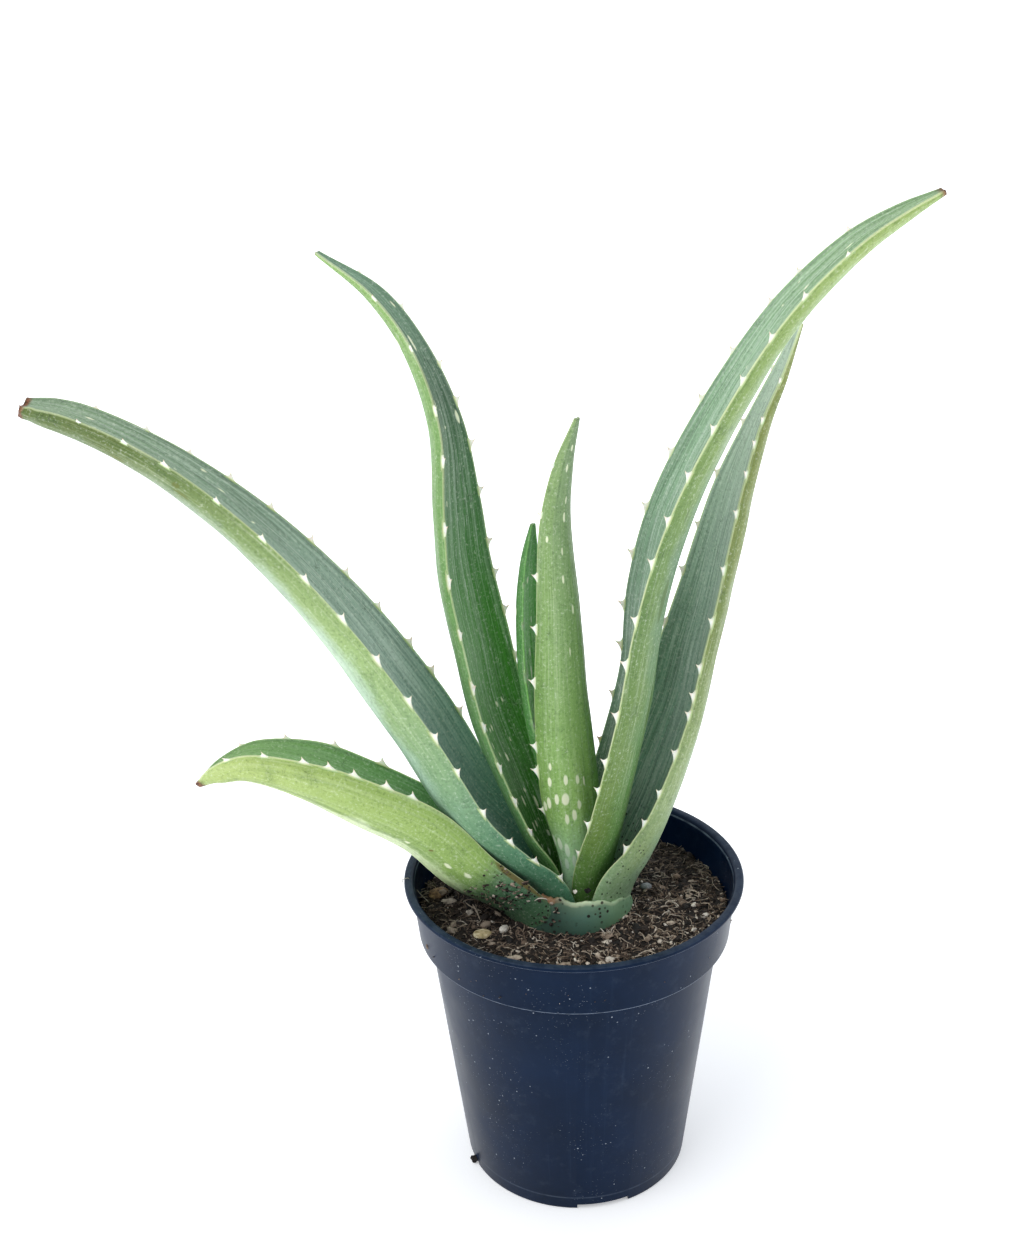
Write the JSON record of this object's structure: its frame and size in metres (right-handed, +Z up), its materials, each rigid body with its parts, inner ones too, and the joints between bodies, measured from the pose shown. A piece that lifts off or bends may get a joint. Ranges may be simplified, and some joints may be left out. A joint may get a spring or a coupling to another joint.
{
  "type": "potted aloe plant",
  "caption": "Aloe plant with long toothed leaves in a rosette, growing in peat in a round nursery pot with a lip and a collar.",
  "frame": {"origin": "middle of the pot's foot, on the surface it stands on", "axes": "+Z up, +X to the right of the view from the front, +Y to the back"},
  "size_m": [0.2891, 0.12, 0.3483],
  "materials": {
    "pot": "moulded, satin, lightly dusty",
    "soil": "loose fibrous peat",
    "stem": "fleshy, scarred",
    "leaf": "smooth waxy skin over soft flesh",
    "bark": "dry, fibrous",
    "grit": "rough mineral grain"
  },
  "bodies": {
    "root": {"pot": "pot", "soil": "soil", "stem": "stem", "leaf_heart_small": "leaf", "leaf_centre": "leaf", "leaf_left_upright": "leaf", "leaf_right_long": "leaf", "leaf_left_long": "leaf", "leaf_right_back": "leaf", "leaf_low_left": "leaf", "bark_chip": "bark", "wood_disc": "bark", "perlite_chip": "grit", "pebble": "grit"}
  },
  "joints": []
}
